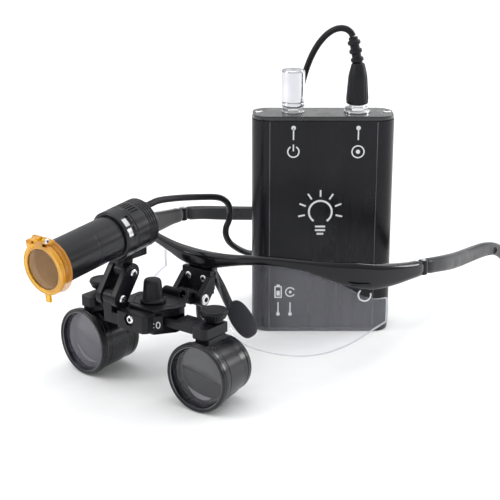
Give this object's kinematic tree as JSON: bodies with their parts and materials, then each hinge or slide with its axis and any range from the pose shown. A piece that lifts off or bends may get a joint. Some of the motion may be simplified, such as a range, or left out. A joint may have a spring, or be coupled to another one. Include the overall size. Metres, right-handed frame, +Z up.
{
  "type": "dental loupes",
  "caption": "Flip-up magnifying dental loupes on a wrap-round spectacle frame, with a hinged headlight, flip filter and a wired battery pack.",
  "frame": {"origin": "on the floor, under the middle of the box of the loupes and pack without the cord", "axes": "+X to the wearer's left, +Y back along the temples away from the viewing direction, +Z up"},
  "size_m": [0.1486, 0.2883, 0.1458],
  "materials": {
    "frame_gloss": "glossy moulded black",
    "clear_lens": "clear polycarbonate with a faint cool tint",
    "pad_rubber": "soft dark grey",
    "satin_black": "satin black anodised",
    "bright_steel": "bright nickel plate",
    "knob_black": "matte black",
    "anodised_black": "satin black anodised",
    "coated_glass": "coated glass",
    "board_white": "white board",
    "cord_black": "smooth black",
    "amber_plastic": "translucent amber",
    "amber_glass": "amber filter",
    "pack_black": "satin black anodised",
    "plate_grey": "glossy dark grey",
    "cell_wrap": "shrink wrap",
    "board_green": "solder mask",
    "knob_chrome": "polished"
  },
  "bodies": {
    "frame": {"frame_front": "frame_gloss", "lens_left": "clear_lens", "lens_right": "clear_lens", "nose_pads": "pad_rubber", "nose_bridge": "frame_gloss", "bridge_bracket": "satin_black", "bridge_screws": "bright_steel", "frame_hinges": "bright_steel", "hinge_pins": "bright_steel", "flip_pin": "bright_steel", "cord_head": "cord_black", "cord_coil": "cord_black", "cord_riser": "cord_black"},
    "temple_left": {"temple_left": "frame_gloss", "temple_hinge_left": "bright_steel"},
    "temple_right": {"temple_right": "frame_gloss", "temple_hinge_right": "bright_steel"},
    "hub": {"flip_arm": "satin_black", "hub_body": "satin_black", "hub_cover": "satin_black", "hub_screw": "bright_steel", "headlight_knuckle": "satin_black", "link_screw_lower": "bright_steel"},
    "pd_drive": {"pd_knob": "knob_black", "pd_pinion": "bright_steel"},
    "slider_left": {"pd_slider_left": "satin_black", "clamp_block_left": "satin_black"},
    "slider_right": {"pd_slider_right": "satin_black", "clamp_block_right": "satin_black"},
    "telescope_left": {"barrel_shell_left": "anodised_black", "objective_left": "coated_glass", "ocular_left": "coated_glass", "retaining_ring_left": "anodised_black"},
    "telescope_right": {"barrel_shell_right": "anodised_black", "objective_right": "coated_glass", "ocular_right": "coated_glass", "retaining_ring_right": "anodised_black"},
    "thumb_knob_left": {"clamp_knob_left": "knob_black"},
    "thumb_knob_right": {"clamp_knob_right": "knob_black"},
    "links": {"headlight_links": "satin_black"},
    "headlight": {"headlight_foot": "satin_black", "headlight_tube": "anodised_black", "headlight_housing": "anodised_black", "headlight_lens": "coated_glass", "led_board": "board_white", "cable_gland": "cord_black", "filter_sleeve": "amber_plastic", "filter_screw": "bright_steel", "link_screw_upper": "bright_steel"},
    "filter": {"filter_flap": "amber_plastic", "filter_glass": "amber_glass"},
    "pack": {"pack_shell": "pack_black", "pack_end_plates": "plate_grey", "pack_screws": "bright_steel", "battery_cells": "cell_wrap", "circuit_board": "board_green", "power_switch": "bright_steel", "pack_jacks": "bright_steel", "plug": "cord_black"},
    "switch_knob": {"power_knob": "knob_chrome"}
  },
  "joints": [
    {"name": "temple_left_fold", "type": "hinge", "parent": "frame", "child": "temple_left", "pos_m": [0.072, 0.015, 0.0418], "axis": [0, 0, 1], "range_deg": [0, 24]},
    {"name": "temple_right_fold", "type": "hinge", "parent": "frame", "child": "temple_right", "pos_m": [-0.072, 0.015, 0.0418], "axis": [0, 0, -1], "range_deg": [0, 24]},
    {"name": "flip_up", "type": "hinge", "parent": "frame", "child": "hub", "pos_m": [0, -0.0636, 0.0342], "axis": [-1, 0, 0], "range_deg": [0, 45], "deforming": ["cord_head"]},
    {"name": "pd_turn", "type": "hinge", "parent": "hub", "child": "pd_drive", "pos_m": [0, -0.0878, 0.0384], "axis": [0, 0, 1], "range_deg": [-77, 39]},
    {"name": "left_telescope_out", "type": "slide", "parent": "hub", "child": "slider_left", "axis": [1, 0, 0], "range_m": [-0.004, 0.002]},
    {"name": "right_telescope_out", "type": "slide", "parent": "hub", "child": "slider_right", "axis": [-1, 0, 0], "range_m": [-0.004, 0.002]},
    {"name": "left_swivel", "type": "hinge", "parent": "slider_left", "child": "telescope_left", "pos_m": [0.032, -0.0855, 0.0335], "axis": [0, 0, 1], "range_deg": [-8, 10]},
    {"name": "right_swivel", "type": "hinge", "parent": "slider_right", "child": "telescope_right", "pos_m": [-0.032, -0.0855, 0.0335], "axis": [0, 0, -1], "range_deg": [-12, 6]},
    {"name": "left_thumb_knob_turn", "type": "hinge", "parent": "slider_left", "child": "thumb_knob_left", "pos_m": [0.032, -0.0855, 0.038], "axis": [0, 0, 1], "range_deg": [0, 180]},
    {"name": "right_thumb_knob_turn", "type": "hinge", "parent": "slider_right", "child": "thumb_knob_right", "pos_m": [-0.032, -0.0855, 0.038], "axis": [0, 0, 1], "range_deg": [0, 180]},
    {"name": "link_tilt", "type": "hinge", "parent": "hub", "child": "links", "pos_m": [-0.0134, -0.0989, 0.0408], "axis": [-1, 0, 0], "range_deg": [-10, 12], "deforming": ["cord_head"]},
    {"name": "light_tilt", "type": "hinge", "parent": "links", "child": "headlight", "pos_m": [-0.0134, -0.0917, 0.0506], "axis": [1, 0, 0], "range_deg": [-8, 20], "deforming": ["cord_head"]},
    {"name": "filter_flip", "type": "hinge", "parent": "headlight", "child": "filter", "pos_m": [-0.0134, -0.13788, 0.07552], "axis": [-1, 0, 0], "range_deg": [0, 95]},
    {"name": "pack_lift", "type": "slide", "parent": "frame", "child": "pack", "axis": [0, 0, 1], "range_m": [0, 0.04], "deforming": ["cord_riser"]},
    {"name": "switch_turn", "type": "hinge", "parent": "pack", "child": "switch_knob", "pos_m": [0.00219, 0.00944, 0.11], "axis": [0, 0, -1], "range_deg": [0, 280]}
  ],
  "couplings": [
    {"joint": "pd_turn", "follows": "left_telescope_out", "rad_per_m": 333.33},
    {"joint": "right_telescope_out", "follows": "left_telescope_out", "ratio": 1}
  ]
}
